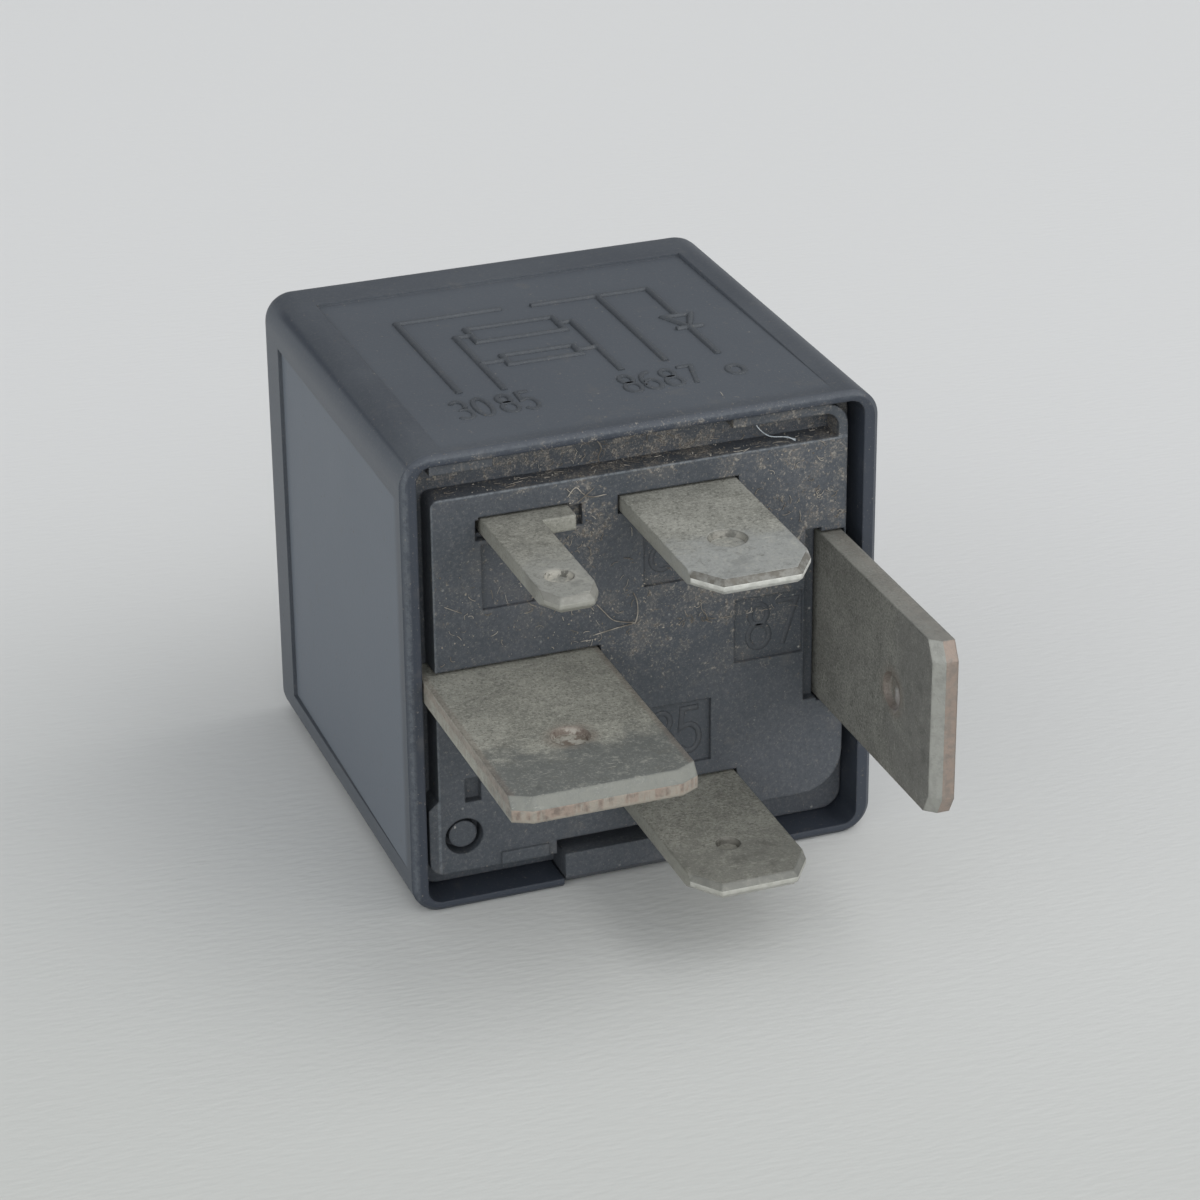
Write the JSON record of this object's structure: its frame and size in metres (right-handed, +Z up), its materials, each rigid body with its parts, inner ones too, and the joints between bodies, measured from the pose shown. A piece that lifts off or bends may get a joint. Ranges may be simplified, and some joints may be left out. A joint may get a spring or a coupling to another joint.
{
  "type": "automotive relay",
  "caption": "Square plug-in power relay with flat blade terminals on one end, a moulded cap and a sprung switching armature inside.",
  "frame": {"origin": "on the resting side face, under the middle of the whole length", "axes": "+Y from the blade tips to the closed end, +Z up from the resting side to the circuit side, +X across, with the upright wide blade on the +X side"},
  "size_m": [0.0256, 0.039, 0.0256],
  "materials": {
    "cover": "fine moulded, worn at the edges",
    "base": "moulded, dusty",
    "terminal_30": "dull tin over copper alloy",
    "terminal_87": "dull tin over copper alloy",
    "terminal_85": "dull tin over brass",
    "terminal_86": "dull tin over brass",
    "terminal_diode": "dull tin over brass",
    "yoke": "zinc plated, satin",
    "core": "turned, satin",
    "bobbin": "moulded",
    "coil": "enamelled copper wire",
    "armature": "zinc plated, satin",
    "contact_arm": "rolled copper alloy",
    "moving_contact": "silver alloy, satin",
    "armature_rivets": "satin",
    "return_spring": "spring strip, satin",
    "yoke_rivets": "satin",
    "fixed_contact": "silver alloy, satin",
    "braid": "woven copper",
    "resistor": "lacquered",
    "resistor_leads": "tinned wire",
    "diode": "moulded",
    "diode_leads": "tinned wire",
    "solder_beads": "dull solder"
  },
  "bodies": {
    "housing": {"cover": "cover", "base": "base", "terminal_30": "terminal_30", "terminal_87": "terminal_87", "terminal_85": "terminal_85", "terminal_86": "terminal_86", "terminal_diode": "terminal_diode", "yoke": "yoke", "core": "core", "bobbin": "bobbin", "coil": "coil", "return_spring": "return_spring", "yoke_rivets": "yoke_rivets", "fixed_contact": "fixed_contact", "braid": "braid", "resistor": "resistor", "resistor_leads": "resistor_leads", "diode": "diode", "diode_leads": "diode_leads", "solder_beads": "solder_beads"},
    "armature_group": {"armature": "armature", "contact_arm": "contact_arm", "moving_contact": "moving_contact", "armature_rivets": "armature_rivets"}
  },
  "joints": [
    {"name": "armature_pull", "type": "hinge", "parent": "housing", "child": "armature_group", "pos_m": [-0.01042, 0.01388, 0.0128], "axis": [0, 0, -1], "range_deg": [0, 3.8], "stiffness_Nm_per_rad": 0.02, "springref_deg": -11.46, "deforming": ["return_spring", "braid"]}
  ]
}
